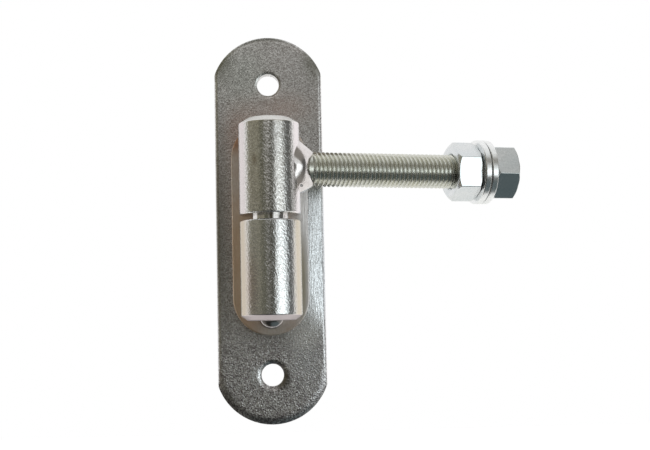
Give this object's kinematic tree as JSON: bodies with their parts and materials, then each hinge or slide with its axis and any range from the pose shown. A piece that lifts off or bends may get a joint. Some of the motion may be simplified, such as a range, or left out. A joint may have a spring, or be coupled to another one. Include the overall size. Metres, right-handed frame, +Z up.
{
  "type": "adjustable bolt-on gate hinge",
  "caption": "Bolt-on gate hinge: a flat plate with arc ends carries a welded barrel and pin; the upper barrel turns on it and holds a threaded stud with nuts and washers for adjustment.",
  "frame": {"origin": "centre of the back plate's rear face, midway between its bolt holes", "axes": "+Z up along the hinge axis and the plate's length, -Y out of the plate's front, +X towards the stud's side at rest"},
  "size_m": [0.1421, 0.0542, 0.18],
  "materials": {
    "plate_zinc": "zinc-plated hot-rolled steel bar, grainy satin",
    "pad_zinc": "zinc-plated cold-drawn steel flat, smooth, faintly iridescent",
    "barrel_zinc": "zinc-plated turned steel, bright satin",
    "weld_zinc": "zinc-plated weld metal, glossy and lumpy",
    "pin_steel": "ground steel, bright",
    "ball_steel": "hardened bearing steel, polished",
    "stud_zinc": "zinc-plated rolled steel thread, bright with a yellow cast",
    "fastener_zinc": "bright zinc-plated steel"
  },
  "bodies": {
    "fixed_leaf": {"back_plate": "plate_zinc", "spacer_pad": "pad_zinc", "lower_barrel": "barrel_zinc", "barrel_weld": "weld_zinc", "hinge_pin": "pin_steel", "thrust_ball": "ball_steel"},
    "swing_arm": {"upper_barrel": "barrel_zinc", "threaded_stud": "stud_zinc", "stud_weld": "weld_zinc"},
    "inner_washer": {"inner_washer": "fastener_zinc"},
    "inner_nut": {"inner_nut": "fastener_zinc"},
    "outer_washer": {"outer_washer": "fastener_zinc"},
    "outer_nut": {"outer_nut": "fastener_zinc"}
  },
  "joints": [
    {"name": "hinge_swing", "type": "hinge", "parent": "fixed_leaf", "child": "swing_arm", "pos_m": [0, -0.02555, 0.0253], "axis": [0, 0, -1], "range_deg": [0, 207]},
    {"name": "inner_nut_travel", "type": "slide", "parent": "swing_arm", "child": "inner_washer", "axis": [0.9724, 0.2334, 0], "range_m": [-0.06, 0]},
    {"name": "inner_nut_turn", "type": "hinge", "parent": "inner_washer", "child": "inner_nut", "pos_m": [0.09038, -0.00385, 0.0253], "axis": [0.9724, 0.2334, 0], "range_deg": [-10800, 0]},
    {"name": "outer_nut_travel", "type": "slide", "parent": "swing_arm", "child": "outer_washer", "axis": [0.9724, 0.2334, 0], "range_m": [0, 0.01]},
    {"name": "outer_nut_turn", "type": "hinge", "parent": "outer_washer", "child": "outer_nut", "pos_m": [0.10856, 0.00051, 0.0253], "axis": [0.9724, 0.2334, 0], "range_deg": [0, 1800]}
  ],
  "couplings": [
    {"joint": "inner_nut_travel", "follows": "inner_nut_turn", "m_per_rad": 0.00031831},
    {"joint": "outer_nut_travel", "follows": "outer_nut_turn", "m_per_rad": 0.00031831}
  ]
}
